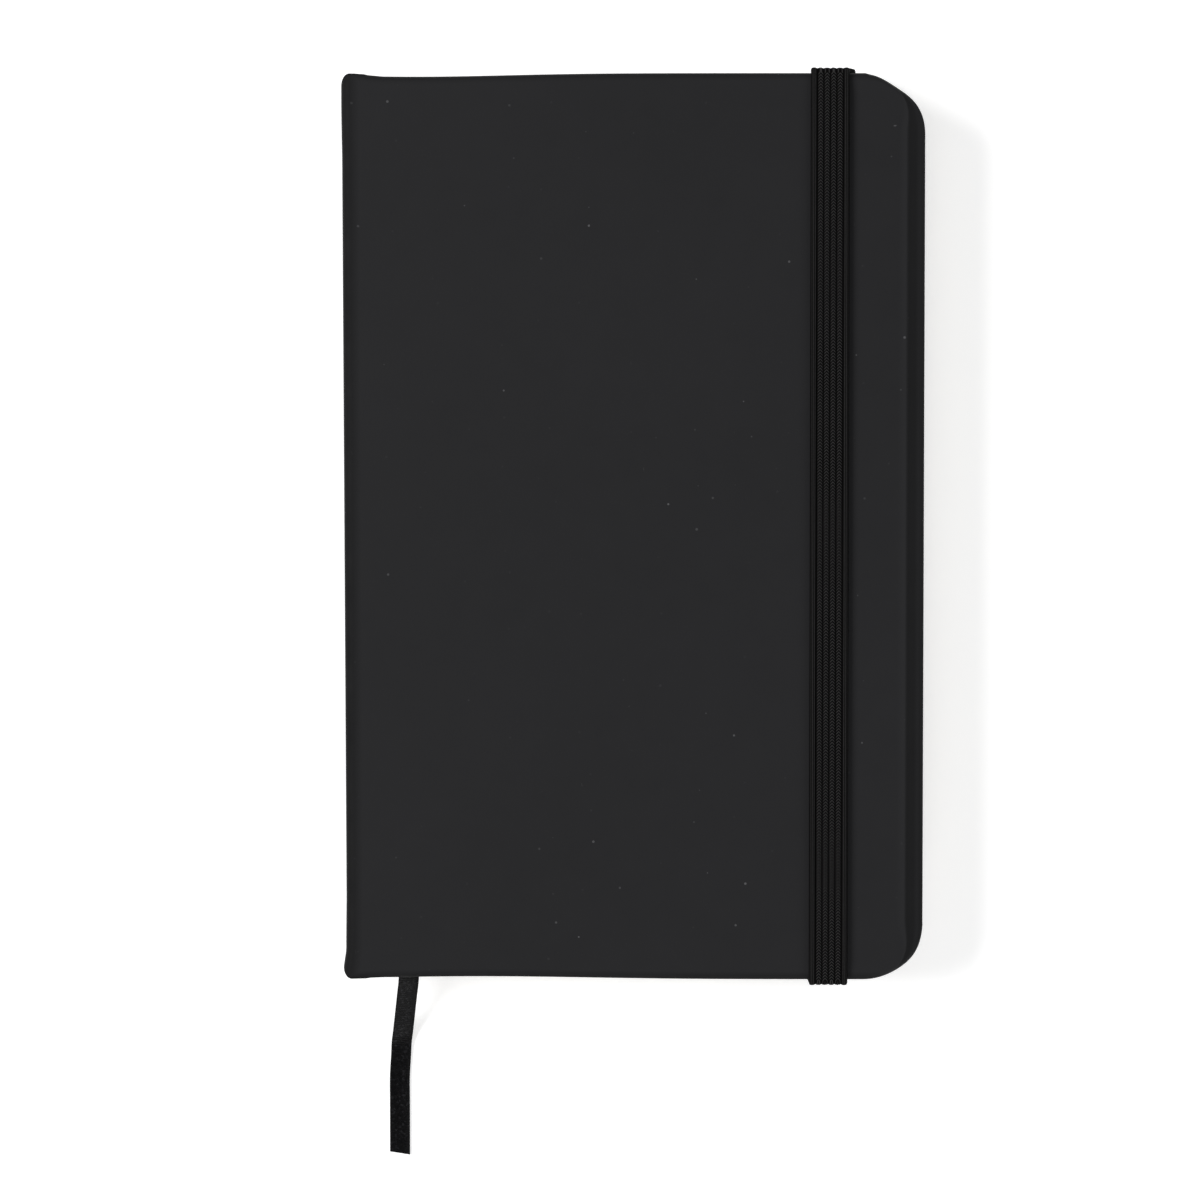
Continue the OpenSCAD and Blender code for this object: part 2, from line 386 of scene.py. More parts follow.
def rim(n, inward, across, along):
    """How much shade is painted along the outline of the cover, most at the tail. In millimetres."""
    half_l = HALF_L / MM
    from_end = n.math("SUBTRACT", half_l, n.math("ABSOLUTE", along))
    from_spine = n.math("SUBTRACT", across, SPINE_X / MM)
    at_end = n.ramp(from_end, 1.3, 0.1)
    at_fore = n.ramp(inward, 0.75, 0.15)
    at_bend = n.times(n.ramp(from_spine, 2.6, 0.6), n.ramp(from_spine, 0.05, 0.25))
    sides = n.math("MAXIMUM", n.times(at_fore, 0.50), n.times(at_bend, 0.85))
    toward_tail = n.ramp(along, -half_l, half_l, 0.80, 0.40)
    return n.math("MAXIMUM", n.times(at_end, toward_tail), sides)


def lint(n, across, along):
    """Dust specks, most of them faint, and a few hair-fine marks about a millimetre long."""
    dust = specks(n, n.join(across, along), scale=0.165, rarity=0.50)
    slant_x = n.plus(n.times(across, 0.45), n.times(along, 0.10))
    slant_y = n.math("SUBTRACT", n.times(along, 0.07), n.times(across, 0.03))
    hairs = specks(n, n.join(slant_x, slant_y), scale=1.3, rarity=0.975)
    return n.math("MAXIMUM", dust, n.times(hairs, 0.5))


def specks(n, place, scale, rarity):
    """Small round specks, each in its own cell. Some cells are empty, and few specks are bright."""
    pick, size, bright = n.split(n.cells(place, scale, output="Color", dimensions="2D"))
    radius = n.ramp(size, 0.0, 1.0, 0.012, 0.034)
    inside = n.math("LESS_THAN", n.cells(place, scale, dimensions="2D"), radius)
    shown = n.times(n.math("GREATER_THAN", pick, rarity), inside)
    strength = n.plus(n.times(n.math("POWER", bright, 6.0), 0.22), 0.015)
    return n.times(shown, strength)


def elastic_material():
    """Woven elastic: four plaited ribs and a plain rib at each edge, with painted shade in the gaps between
    stitches and in the valleys between ribs.
    """
    n = Nodes("woven_elastic", roughness=0.8, specular=0.03)
    across, along, _ = n.split(n.uv())
    from_rib = n.math("ABSOLUTE", n.math("SUBTRACT", n.math("FRACT", across), 0.5))
    slanted = n.plus(along, n.times(from_rib, STITCH_SLANT))
    stagger = n.times(n.math("FLOOR", across), 0.5)
    phase = n.zigzag(n.plus(n.times(slanted, STITCHES_PER_MM), stagger))
    lift = n.ramp(n.math("SUBTRACT", 1.0, n.times(phase, 2.0)), 0.48, 0.85)
    from_middle = n.math("ABSOLUTE", n.math("SUBTRACT", across, RIBS / 2))
    inner = n.math("LESS_THAN", from_middle, RIBS / 2 - 1)
    plain = n.math("SUBTRACT", 1.0, inner)
    fine = n.ramp(n.zigzag(n.times(across, 3.5)), 0.05, 0.45)
    weave = n.plus(n.times(lift, inner), n.times(fine, plain, 0.55))
    # Painted shade in the valleys between ribs, deepest at the band's outer edges.
    painted_valley_shade = n.ramp(from_rib, 0.28, 0.46, 1.0, 0.05)
    fuzz = n.noise(n.uv(), 5)
    # Share of the stitch colour: painted shade in the gaps between stitches and in the valleys.
    light = n.times(n.plus(n.times(weave, 0.97), 0.03), painted_valley_shade)
    light = n.times(light, n.ramp(fuzz, 0.3, 0.7, 0.65, 1.25))
    n.colour(n.mix(light, ELASTIC_PAINTED_SHADE, ELASTIC_STITCH))
    n.shader.inputs["Sheen Weight"].default_value = 0.006
    n.shader.inputs["Sheen Roughness"].default_value = 0.5
    n.bump((n.times(fuzz, 0.06 * MM), 0.5))
    return n.material


def ribbon_material():
    """Black satin ribbon with a fine cross rib, painted glints here and there, and firmer edges."""
    n = Nodes("satin_ribbon", specular=0.10)
    across, along, _ = n.split(n.uv())
    cross = n.zigzag(n.times(along, 2.6))
    warp = n.zigzag(n.times(across, 5.0))
    edge = n.ramp(n.math("ABSOLUTE", across), 1.25, 1.45)
    pick = n.split(n.cells(n.uv(), 3.6, output="Color", dimensions="2D"))[0]
    patches = n.ramp(n.noise(n.uv(), 0.8, 2), 0.35, 0.65, 0.2, 1.0)
    # Painted glints: a few random cells lightened in colour, in patches.
    painted_glint = n.times(n.ramp(pick, 0.72, 1.0), patches, 0.9)
    shade = n.plus(n.times(n.noise(n.uv(), 2.2), 0.13), n.times(warp, 0.08), painted_glint)
    n.colour(n.mix(shade, RIBBON_DARK, RIBBON_LIT))
    shine = n.ramp(pick, 0.0, 1.0, 0.46, 0.24)
    n.roughness(n.plus(shine, n.times(edge, 0.2)))
    height = n.plus(n.times(cross, 0.05 * MM), n.times(warp, 0.03 * MM))
    n.bump((height, 0.6), (n.times(pick, 0.02 * MM), 0.5), (n.times(edge, 0.05 * MM), 0.5))
    return n.material


def paper_material(name, tint, ruled):
    """Uncoated ivory paper with a faint tooth and cloudiness, and pale ruling if asked."""
    n = Nodes(name, roughness=0.85, specular=0.25)
    place = n.position()
    cloudy = tuple(0.985 * c for c in tint)
    base = n.mix(n.ramp(n.noise(place, 120, 4), 0.3, 0.7), cloudy, tint)
    if ruled:
        base = n.mix(ruling(n, n.split(place)[1]), base, RULING)
    n.colour(base)
    n.bump((n.times(n.noise(place, 2500), 0.01 * MM), 0.3))
    return n.material


def ruling(n, y):
    """How strongly the pale lines across a page show at y."""
    row = n.math("FRACT", n.math("DIVIDE", y, RULE_SPACING))
    line = n.math("LESS_THAN", n.math("ABSOLUTE", n.math("SUBTRACT", row, 0.5)), 0.013)
    inside = n.math("LESS_THAN", n.math("ABSOLUTE", y), FIRST_RULE)
    return n.times(line, inside, 0.55)


def edge_material():
    """Cut page edges: faint streaks of painted shade between the leaves."""
    n = Nodes("page_edges", roughness=0.9, specular=0.2)
    x, y, z = n.split(n.position())
    stretched = n.join(n.times(x, 40.0), n.times(y, 40.0), n.times(z, 4000.0))
    n.colour(n.mix(n.ramp(n.noise(stretched, 1.0), 0.3, 0.7), PAGE_EDGE_SHADE, PAGE_IVORY))
    return n.material


def board_material():
    """Dense grey board with flecks of fibre."""
    n = Nodes("greyboard", roughness=0.9, specular=0.2)
    place = n.position()
    fleck = n.noise(place, 900, 5, 0.7)
    mid = n.mix(n.ramp(n.noise(place, 90), 0.3, 0.7), BOARD_DARK, BOARD_LIGHT)
    n.colour(n.mix(n.ramp(fleck, 0.62, 0.72), mid, BOARD_FLECK))
    n.bump((n.times(fleck, 0.05 * MM), 0.4))
    return n.material


def kraft_material():
    """Brown kraft paper strip with long fibres."""
    n = Nodes("kraft_lining", roughness=0.85, specular=0.2)
    fibre = n.noise(n.position(), 700, 5, 0.65)
    n.colour(n.mix(n.ramp(fibre, 0.35, 0.65), KRAFT_DARK, KRAFT_LIGHT))
    n.bump((n.times(fibre, 0.03 * MM), 0.4))
    return n.material


def gauze_material():
    """Open cotton gauze: a grid of threads with glue showing between them."""
    n = Nodes("gauze", roughness=0.9, specular=0.15)
    _, y, z = n.split(n.position())
    warp, weft = (n.ramp(n.zigzag(n.times(v, 900.0)), 0.25, 0.4) for v in (y, z))
    thread = n.math("MAXIMUM", warp, weft)
    n.colour(n.mix(thread, GLUE, COTTON))
    n.bump((n.times(thread, 0.1 * MM), 0.5))
    return n.material


def thread_material():
    """White sewing thread, twisted, with painted shade along the grooves of the twist."""
    n = Nodes("sewing_thread", roughness=0.7, specular=0.3)
    x, y, z = n.split(n.position())
    twist = n.zigzag(n.times(n.plus(z, n.plus(x, y)), 1400.0))
    n.colour(n.mix(twist, THREAD_PAINTED_SHADE, THREAD_LIGHT))
    n.bump((n.times(twist, 0.1 * MM), 0.6))
    return n.material


def floor_material():
    """Matt white, with a faint glow of its own, like a light table."""
    n = Nodes("studio_floor", roughness=0.9, colour=(0.86, 0.86, 0.86), specular=0.1)
    n.shader.inputs["Emission Color"].default_value = (1, 1, 1, 1)
    n.shader.inputs["Emission Strength"].default_value = 0.45
    return n.material


SKIN = skin_material()
ELASTIC = elastic_material()
RIBBON = ribbon_material()
PAGE = paper_material("ruled_page", PAGE_IVORY, True)
ENDPAPER = paper_material("endpaper", ENDPAPER_IVORY, False)
PAGE_EDGE = edge_material()
BOARD = board_material()
KRAFT = kraft_material()
GAUZE = gauze_material()
THREAD = thread_material()

# ---- mesh helpers


def shade_smooth(mesh, sharp_deg):
    mesh.polygons.foreach_set("use_smooth", [True] * len(mesh.polygons))
    mesh.set_sharp_from_angle(angle=math.radians(sharp_deg))


def make_object(name, verts, faces, materials, face_material=None, uvs=None, sharp_deg=SHARP_DEG):
    """A closed mesh object with smooth faces and sharp edges kept."""
    mesh = bpy.data.meshes.new(name)
    mesh.from_pydata([tuple(v) for v in verts], [], [tuple(f) for f in faces])
    for material in materials:
        mesh.materials.append(material)
    if face_material is not None:
        mesh.polygons.foreach_set("material_index", face_material)
    if uvs is not None:
        layer = mesh.uv_layers.new(name="flat")
        at = np.array(uvs, float)[[loop.vertex_index for loop in mesh.loops]]
        layer.data.foreach_set("uv", at.ravel())
    work = bmesh.new()
    work.from_mesh(mesh)
    bmesh.ops.recalc_face_normals(work, faces=work.faces)
    work.to_mesh(mesh)
    work.free()
    shade_smooth(mesh, sharp_deg)
    piece = bpy.data.objects.new(name, mesh)
    bpy.context.collection.objects.link(piece)
    return piece


def strip_faces(first, second, count, closed):
    """Quads between two rows of count vertices."""
    last = count if closed else count - 1
    return [
        (first + i, first + (i + 1) % count, second + (i + 1) % count, second + i)
        for i in range(last)
    ]


def tube_faces(rows, count):
    """Faces of a tube of rows of count vertices, closed at both ends."""
    faces = []
    for row in range(rows - 1):
        faces += strip_faces(row * count, (row + 1) * count, count, True)
    return faces + [list(range(count)), list(range((rows - 1) * count, rows * count))]


def running_length(points):
    """Length of a line up to each of its points."""
    return np.concatenate([[0], np.cumsum(np.linalg.norm(np.diff(points, axis=0), axis=1))])


def directions(line):
    """Unit direction of a line at each of its points."""
    tangent = np.gradient(line, axis=0)
    return tangent / np.linalg.norm(tangent, axis=1)[:, None]


def smooth_step(value):
    value = np.clip(value, 0, 1)
    return value * value * (3 - 2 * value)


# ---- case


def u_ring(x0, inset):
    """Open outline of a cover from the spine at the tail, round the fore edge, to the spine at the head."""
    x1 = FORE_X - inset
    y1 = HALF_L - inset
    r = max(FORE_R - inset, 0.2 * MM)
    cuts = STRAIGHT_CUTS
    points = [(x0 + (x1 - r - x0) * i / cuts, -y1) for i in range(cuts)]
    for i in range(ARC_CUTS + 1):
        a = math.radians(-90 + 90 * i / ARC_CUTS)
        points.append((x1 - r + r * math.cos(a), -y1 + r + r * math.sin(a)))
    points += [(x1, -y1 + r + 2 * (y1 - r) * i / cuts) for i in range(1, cuts)]
    for i in range(ARC_CUTS + 1):
        a = math.radians(90 * i / ARC_CUTS)
        points.append((x1 - r + r * math.cos(a), y1 - r + r * math.sin(a)))
    points += [(x1 - r + (x0 - x1 + r) * i / cuts, y1) for i in range(1, cuts + 1)]
    return points


def panel_profile():
    """(inset, depth) rings from the middle of the outer face, round the edge, to the inner face."""
    rings = [(inset * MM, 0.0) for inset in OUTER_RINGS]
    for i in range(7):
        a = math.radians(90 * i / 6)
        rings.append((EDGE_R * (1 - math.sin(a)), EDGE_R * (1 - math.cos(a))))
    for i in range(1, 6):
        a = math.radians(90 * i / 5)
        rings.append((INNER_EDGE_R * (1 - math.cos(a)), PANEL_T - INNER_EDGE_R * (1 - math.sin(a))))
    rings += [(inset * MM, PANEL_T) for inset in INNER_RINGS]
    return rings


PROFILE = panel_profile()


def spine_shrink(x):
    """How much shorter the case is at x, for the small corners at the spine."""
    reach = np.clip(SPINE_R - (x - SPINE_X), 0, SPINE_R)
    return SPINE_R - math.sqrt(SPINE_R**2 - reach**2)


def drawn_in(y, shrink):
    """y once the case is shorter by shrink at each end. The middle of its length stays."""
    return y - math.copysign(shrink, y) * smooth_step((abs(y) - SHRINK_FROM) / SHRINK_OVER)


def settle(points, flat_corner):
    """Hand-made look of the wrapped skin: head and tail edges dip a little, corners at the spine stand out,
    and the fore corner is a little flattened at the head and full at the tail.
    """
    p = np.array(points, float)
    x, y = p[:, 0].copy(), p[:, 1].copy()
    near_edge = smooth_step((np.abs(y) - (HALF_L - 14 * MM)) / (12 * MM))
    for side, depth, centre, width, ear in END_DIPS:
        here = np.where(y * side > 0, 1.0, 0.0)
        dip = depth * MM * np.exp(-(((x - centre * MM) / (width * MM)) ** 2))
        stand = ear * MM * smooth_step((-39.7 * MM - x) / (3 * MM))
        p[:, 1] -= side * here * (dip - stand) * near_edge
    at_spine = smooth_step((-40 * MM - x) / (4.5 * MM))
    taper = 0.40 * np.clip((y + 20 * MM) / (85 * MM), 0, 1)
    ends = 0.12 * smooth_step((np.abs(y) - (HALF_L - 18 * MM)) / (14 * MM))
    tail_ear = 0.42 * smooth_step((-y - (HALF_L - 5 * MM)) / (4 * MM))
    p[:, 0] -= MM * at_spine * (taper + ends + tail_ear)
    for side, share, centre, width in CORNER_PULLS:
        corner_x = x - (FORE_X - FORE_R)
        corner_y = side * y - (HALF_L - FORE_R)
        angle = np.arctan2(corner_y, corner_x)
        reach = np.where((corner_x > 0) & (corner_y > 0), np.hypot(corner_x, corner_y) / FORE_R, 0.0)
        hump = np.exp(-(((np.degrees(angle) - centre) / width) ** 2))
        inward = share * flat_corner * hump * reach**4
        p[:, 0] -= inward * np.cos(angle)
        p[:, 1] -= side * inward * np.sin(angle)
    return p


def band_place(points):
    """Place across the cover that the fore edge band is drawn by. It is x, except at the fore corners.

    There it is counted from the rim, and the band narrows to nothing towards the head or tail edge.
    """
    x, y = np.array(points, float)[:, :2].T
    corner_x = x - (FORE_X - FORE_R)
    corner_y = np.abs(y) - (HALF_L - FORE_R)
    narrow = 1 - 0.97 * smooth_step(np.degrees(np.arctan2(corner_y, corner_x)) / BAND_GONE_DEG)
    from_rim = (FORE_R - np.hypot(corner_x, corner_y)) / np.maximum(narrow, 0.03)
    counted = np.maximum(FORE_X - from_rim, np.minimum(x, FORE_X - 5 * MM))
    return np.where((corner_x > 0.01 * MM) & (corner_y > 0.01 * MM), counted, x)


def skin_uvs(points):
    """Flat map of a skin in millimetres, drawn before it settles."""
    return np.stack([band_place(points), np.array(points, float)[:, 1]], 1) / MM


def fore_drop(place, y, depth):
    """The skin steps down along the front cover's fore edge, where it was drawn over the board."""
    past = place - (FORE_X - 3.05 * MM)
    step = smooth_step(past / (0.75 * MM)) * 0.12 * MM
    slope = np.clip(past / (3 * MM), 0, 1) * 0.09 * MM
    ends = np.clip((HALF_L - np.abs(y)) / (3 * MM), 0, 1)
    return (step + slope) * ends * np.clip(1 - depth / (1.3 * MM), 0, 1)


def turn_over(points, front):
    """The front cover is the back cover turned over."""
    if front:
        points[:, 2] = CLOSED_T - points[:, 2]
    return points


def settled(verts, front):
    return turn_over(settle(verts, FRONT_FLAT if front else BACK_FLAT), front)


def ring_stack(rings, x_edge, drops):
    """Open rings round a cover, joined, with both flat faces closed.

    Gives the vertices, the faces, and the outline of the side that is left open towards the spine.
    """
    verts = []
    faces = []
    rows = []
    for inset, depth in rings:
        ring = u_ring(x_edge, inset)
        rows.append(len(verts))
        y_along = np.array(ring)[:, 1]
        fall = fore_drop(band_place(ring), y_along, depth) if drops else np.zeros(len(ring))
        verts += [(x, y, depth + extra) for (x, y), extra in zip(ring, fall)]
    count = len(ring)
    for first, second in zip(rows, rows[1:]):
        faces += strip_faces(first, second, count, False)
    faces.append(list(range(rows[0], rows[0] + count)))
    faces.append(list(range(rows[-1], rows[-1] + count)))
    spine_side = rows + [row + count - 1 for row in reversed(rows)]
    return verts, faces, spine_side


def bend_sections(section):
    """Cross-cuts of the skin from the cover's spine side round the bend, each as a list of points."""
    thin = HINGE_T / PANEL_T
    half_thin = 0.62
    cuts = []
    for x, scale in ((BOARD_X - 0.1 * MM, half_thin), (BOARD_X - 0.35 * MM, thin), (-43.0 * MM, thin)):
        cuts.append([(x, y, depth * scale) for y, depth in section])
    bend_x = SPINE_X + BEND_R
    for i in range(BEND_CUTS + 1):
        angle = math.radians(90 * i / BEND_CUTS)
        shrink = spine_shrink(bend_x - BEND_R * math.sin(angle))
        cut = []
        for y, depth in section:
            r = BEND_R - depth * thin
            cut.append((bend_x - r * math.sin(angle), drawn_in(y, shrink), BEND_R - r * math.cos(angle)))
        cuts.append(cut)
    return cuts


def cover_skin(name, front):
    """Skin round one cover, with its bend into the spine."""
    verts, faces, previous = ring_stack(PROFILE, BOARD_X + 0.2 * MM, front)
    section = [(verts[i][1], verts[i][2]) for i in previous]
    k = len(section)
    for cut in bend_sections(section):
        row = list(range(len(verts), len(verts) + k))
        verts += cut
        faces += [(previous[i], previous[(i + 1) % k], row[(i + 1) % k], row[i]) for i in range(k)]
        previous = row
    faces.append(previous)
    return make_object(name, settled(verts, front), faces, [SKIN], uvs=skin_uvs(verts))


def cover_board(name, front):
    """Greyboard inside one cover, with its edges knocked down."""
    deepest = PANEL_T - 0.1 * MM
    rings = [(inset + SKIN_T, depth) for inset, depth in PROFILE if SKIN_T < depth < deepest]
    knocked = 0.5 * MM
    rings = [(rings[0][0] + knocked, SKIN_T)] + rings + [(rings[-1][0] + knocked, deepest)]
    verts, faces, spine_side = ring_stack(rings, BOARD_X + 0.3 * MM, False)
    faces.append(spine_side)
    return make_object(name, settled(verts, front), faces, [BOARD])


def spine_wrap():
    """Skin over the spine between the two bends: thicker where it is turned in round the spine board."""
    thin = HINGE_T / PANEL_T
    thick = WRAP_T / PANEL_T
    half = [(HALF_L - d, t) for d, t in PROFILE]
    section = [(-y, t) for y, t in half] + [(y, t) for y, t in reversed(half)]
    top = CLOSED_T - BEND_R
    heights = [BEND_R, 1.6 * MM, 2.2 * MM]
    heights += list(np.linspace(3 * MM, top - 3.2 * MM, 6))
    heights += [top - 2.5 * MM, top - 1.8 * MM]
    heights += list(np.linspace(top - HINGE_H, top, 9))
    verts = []
    for z in heights:
        boarded = 1.6 * MM < z < top - 1.7 * MM
        full = 2.0 * MM < z < top - 2.4 * MM
        scale = thick if full else (thin + thick) / 2 if boarded else thin
        verts += [(SPINE_X + t * scale, drawn_in(y, SPINE_R), z) for y, t in section]
    faces = tube_faces(len(heights), len(section))
    p = settle(verts, 0.0)
    return make_object("spine_leatherette", p, faces, [SKIN], uvs=skin_uvs(verts))


def spine_strip():
    """Greyboard strip inside the spine."""
    x0, x1 = SPINE_X + SKIN_T, SPINE_X + 1.5 * MM
    z0, z1 = 2.4 * MM, CLOSED_T - BEND_R - 2.6 * MM
    y1 = HALF_L - SPINE_R - 1.2 * MM
    soft = 0.15 * MM
    outline = [(x0 + soft, z0), (x1 - soft, z0), (x1, z0 + soft), (x1, z1 - soft)]
    outline += [(x1 - soft, z1), (x0 + soft, z1), (x0, z1 - soft), (x0, z0 + soft)]
    rows = np.linspace(-y1, y1, 24)
    verts = [(x, y, z) for y in rows for x, z in outline]
    return make_object("spine_greyboard", verts, tube_faces(len(rows), len(outline)), [BOARD])


def cut_channels(piece):
    """Cuts the room for the strap's ends: the channel from the edge, the slot and the tab's pocket."""
    clear = 0.1 * MM
    past = 1 * MM  # how far a cutter runs on past a face
    slot_y = HALF_L - SLOT_INSET
    half_w = STRAP_W / 2 + clear
    boxes = [
        (slot_y, HALF_L + 3 * MM, -past, STRAP_T + 0.05 * MM),
        (slot_y - STRAP_T - clear, slot_y + 0.01 * MM, -past, PANEL_T + past),
        (slot_y - TAB_L - clear, slot_y, PANEL_T - STRAP_T - clear, PANEL_T + past),
    ]
    quads = [(0, 1, 3, 2), (4, 6, 7, 5), (0, 4, 5, 1), (2, 3, 7, 6), (0, 2, 6, 4), (1, 5, 7, 3)]
    for side in (-1, 1):
        for y0, y1, z0, z1 in boxes:
            xs = (STRAP_X - half_w, STRAP_X + half_w)
            corners = [(x, side * y, z) for x in xs for y in (y0, y1) for z in (z0, z1)]
            cutter = make_object("cutter", corners, quads, [SKIN])
            cut = piece.modifiers.new("cut", "BOOLEAN")
            cut.operation = "DIFFERENCE"
            cut.solver = "EXACT"
            cut.object = cutter
            apply_modifiers(piece)
            bpy.data.objects.remove(cutter)


def apply_modifiers(piece):
    """Puts the modified mesh in the place of the piece's own."""
    graph = bpy.context.evaluated_depsgraph_get()
    made = bpy.data.meshes.new_from_object(piece.evaluated_get(graph))
    piece.modifiers.clear()
    piece.data = made
    shade_smooth(made, SHARP_DEG)


# ---- paper


def half_length(x, x1, half_l, r):
    """Half the length of a page at x, with its rounded fore corners."""
    into = np.clip(x - (x1 - r), 0, r)
    return half_l - r + math.sqrt(max(r * r - into * into, 0.0))


def page_columns(x0, x1, r):
    """Places across a page: close together where it bends at the gutter and at the round corners."""
    gutter = list(np.linspace(x0, GUTTER_X, GUTTER_COLUMNS))
    flat = list(np.linspace(GUTTER_X, x1 - r, 7))[1:]
    corner = [x1 - r + r * math.sin(math.radians(90 * i / 14)) for i in range(1, 15)]
    return gutter + flat + corner


def sheet_loop(path, x1, half_l, r, thickness):
    """Closed sheet along a path of (x, z, nx, nz): verts, faces, and which faces are cut edges."""
    verts = []
    faces = []
    marks = []
    for x, z, nx, nz in path:
        y = half_length(x, x1, half_l, r)
        for side in (-1, 1):
            out = side * thickness / 2
            for y_side in (-1, 1):
                verts.append((x + nx * out, y_side * y, z + nz * out))
    for i in range(len(path) - 1):
        a, b = 4 * i, 4 * (i + 1)
        faces += [(a, a + 1, b + 1, b), (a + 2, b + 2, b + 3, a + 3)]
        faces += [(a, b, b + 2, a + 2), (a + 1, a + 3, b + 3, b + 1)]
        marks += [0, 0, 1, 1]
    end = 4 * (len(path) - 1)
    faces += [(0, 2, 3, 1), (end, end + 1, end + 3, end + 2)]
    marks += [1, 1]
    return verts, faces, marks


def folded_section(name, node):
    """One section: folded sheets nested in each other, cut a little unevenly at the three edges."""
    pitch = extent(node)[2] / (2 * SHEETS_SHOWN)
    mid_z = middle(node)[2]
    verts = []
    faces = []
    marks = []
    for sheet in range(SHEETS_SHOWN):
        reach = pitch * (sheet + 0.5)
        x1 = PAGE_X1 - rng.uniform(0.0, UNEVEN_FORE) * MM
        half_l = PAGE_Y - rng.uniform(0.0, UNEVEN_END) * MM
        columns = page_columns(PAGE_X0 + reach, x1, PAGE_R)
        path = [(x, mid_z + reach, 0, 1) for x in reversed(columns)]
        for i in range(1, FOLD_CUTS):
            a = math.radians(90 + 180 * i / FOLD_CUTS)
            x, z = columns[0] + reach * math.cos(a), mid_z + reach * math.sin(a)
            path.append((x, z, math.cos(a), math.sin(a)))
        path += [(x, mid_z - reach, 0, -1) for x in columns]
        v, f, m = sheet_loop(path, x1, half_l, PAGE_R, pitch * PAPER_SHARE)
        base = len(verts)
        verts += v
        faces += [tuple(base + i for i in face) for face in f]
        marks += m
    return make_object(name, verts, faces, [PAGE, PAGE_EDGE], marks)


def along_path(points):
    """Adds the sideways direction to each (x, z) point of a path."""
    p = np.array(points, float)
    return [(x, z, -dz, dx) for (x, z), (dx, dz) in zip(p, directions(p))]


def rounded(points, times):
    """A polyline with its corners eased, by cutting them a number of times."""
    p = np.array(points, float)
    for _ in range(times):
        quarter = 0.75 * p[:-1] + 0.25 * p[1:]
        three = 0.25 * p[:-1] + 0.75 * p[1:]
        p = np.vstack([p[:1], np.stack([quarter, three], 1).reshape(-1, 2), p[-1:]])
    return p


def paper(name, points, x1, half_l, thickness, front):
    """A sheet that follows a path of (x, z) given for the back half."""
    verts, faces, marks = sheet_loop(along_path(points), x1, half_l, PAGE_R, thickness)
    return make_object(name, turn_over(np.array(verts), front), faces, [ENDPAPER, PAGE_EDGE], marks)


def pastedown_points(z, x1):
    """From the fore edge along the board, down its edge and on to the skin at the bend."""
    flat = [(x, z) for x in reversed(page_columns(GUTTER_X, x1, PAGE_R)[GUTTER_COLUMNS - 1:])]
    step = [(-40.5, z / MM), (-41.35, z / MM), (-41.8, 2.1), (-42.0, 1.5)]
    step += [(-42.2, 0.95), (-42.6, 0.9), (-43.3, 0.9)]
    step = [(GUTTER_X, z)] + [(x * MM, height * MM) for x, height in step]
    return flat + [tuple(point) for point in rounded(step, 3)][1:]


def joint_points(z, lap_x):
    """From the bend's skin across to the free leaf, and on along it to lap_x."""
    fold = [(-43.2, 0.95), (-43.45, 1.2), (-43.3, 1.6), (-42.8, 2.2), (-42.4, z / MM)]
    return rounded([(x * MM, height * MM) for x, height in fold] + [(lap_x, z)], 4)


# ---- elastic band


def rib_height(u, v):
    """Height of the band's outer face: u in ribs across, v in millimetres along."""
    bulge = np.abs(np.sin(np.pi * u)) ** 0.7
    inner = (u > 1) & (u < RIBS - 1)
    slanted = v + STITCH_SLANT * np.abs(u % 1 - 0.5)
    stitch = 0.5 + 0.5 * np.cos(2 * np.pi * (slanted * STITCHES_PER_MM + 0.5 * np.floor(u)))
    gap = np.where(inner, 0.15 * (1 - stitch) * bulge, 0.0)
    return STRAP_T - (0.22 * (1 - bulge) + gap) * MM


def strap_row(v):
    """(across, height) loop of the band at v millimetres along: ribs outside, plain inside."""
    u = np.linspace(0, RIBS, RIBS * RIB_SAMPLES + 1)
    height = rib_height(u, v)
    height[[0, -1]] -= 0.25 * MM
    across = u * STRAP_W / RIBS - STRAP_W / 2
    back = np.linspace(STRAP_W / 2, -STRAP_W / 2, 7)
    rise = np.where(np.abs(back) > 0.45 * STRAP_W, 0.12 * MM, 0.0)
    return np.concatenate([across, back]), np.concatenate([height, rise])


def fine_path(path):
    """The path with points close together, as an array of (y, z, ny, nz) with its running length."""
    p = np.array(path, float)
    length = running_length(p[:, :2])
    at = np.unique(np.concatenate([np.arange(0, length[-1], STRAP_STEP), length]))
    out = np.stack([np.interp(at, length, p[:, i]) for i in range(4)], 1)
    out[:, 2:] /= np.linalg.norm(out[:, 2:], axis=1)[:, None]
    return out, at


def strap_sweep(name, path, squeeze, lean=None):
    """Band swept along a path of (y, z, ny, nz), the band's inner face.

    squeeze gives its thickness as a share, from the millimetres run and left. lean gives a sideways
    shift for a height.
    """
    line, at = fine_path(path)
    verts = []
    uvs = []
    for (y, z, ny, nz), run in zip(line, at):
        across, height = strap_row(run / MM)
        height = height * squeeze(run / MM, (at[-1] - run) / MM)
        shift = lean(z) if lean else 0.0
        row = np.stack([STRAP_X + across + shift, y + ny * height, z + nz * height], 1)
        verts += row.tolist()
        u = (across / STRAP_W + 0.5) * RIBS
        uvs += np.stack([u, np.full(len(u), run / MM)], 1).tolist()
    faces = tube_faces(len(line), len(u))
    return make_object(name, verts, faces, [ELASTIC], uvs=uvs, sharp_deg=WOVEN_SHARP_DEG)


def turn(y, z, start_deg, end_deg, radius, flip=1):
    """Path round a centre at y and z. flip is -1 where the band's outer face is towards the centre."""
    points = []
    for i in range(TURN_CUTS + 1):
        a = math.radians(start_deg + (end_deg - start_deg) * i / TURN_CUTS)
        out_y, out_z = math.cos(a), math.sin(a)
        points.append((y + radius * out_y, z + radius * out_z, flip * out_y, flip * out_z))
    return points


def pulled_thin(run):
    """Share of the band's thickness left where it is drawn round an edge, at a distance in millimetres."""
    return 0.76 + 0.24 * float(smooth_step((run - 0.5) / 3.5))


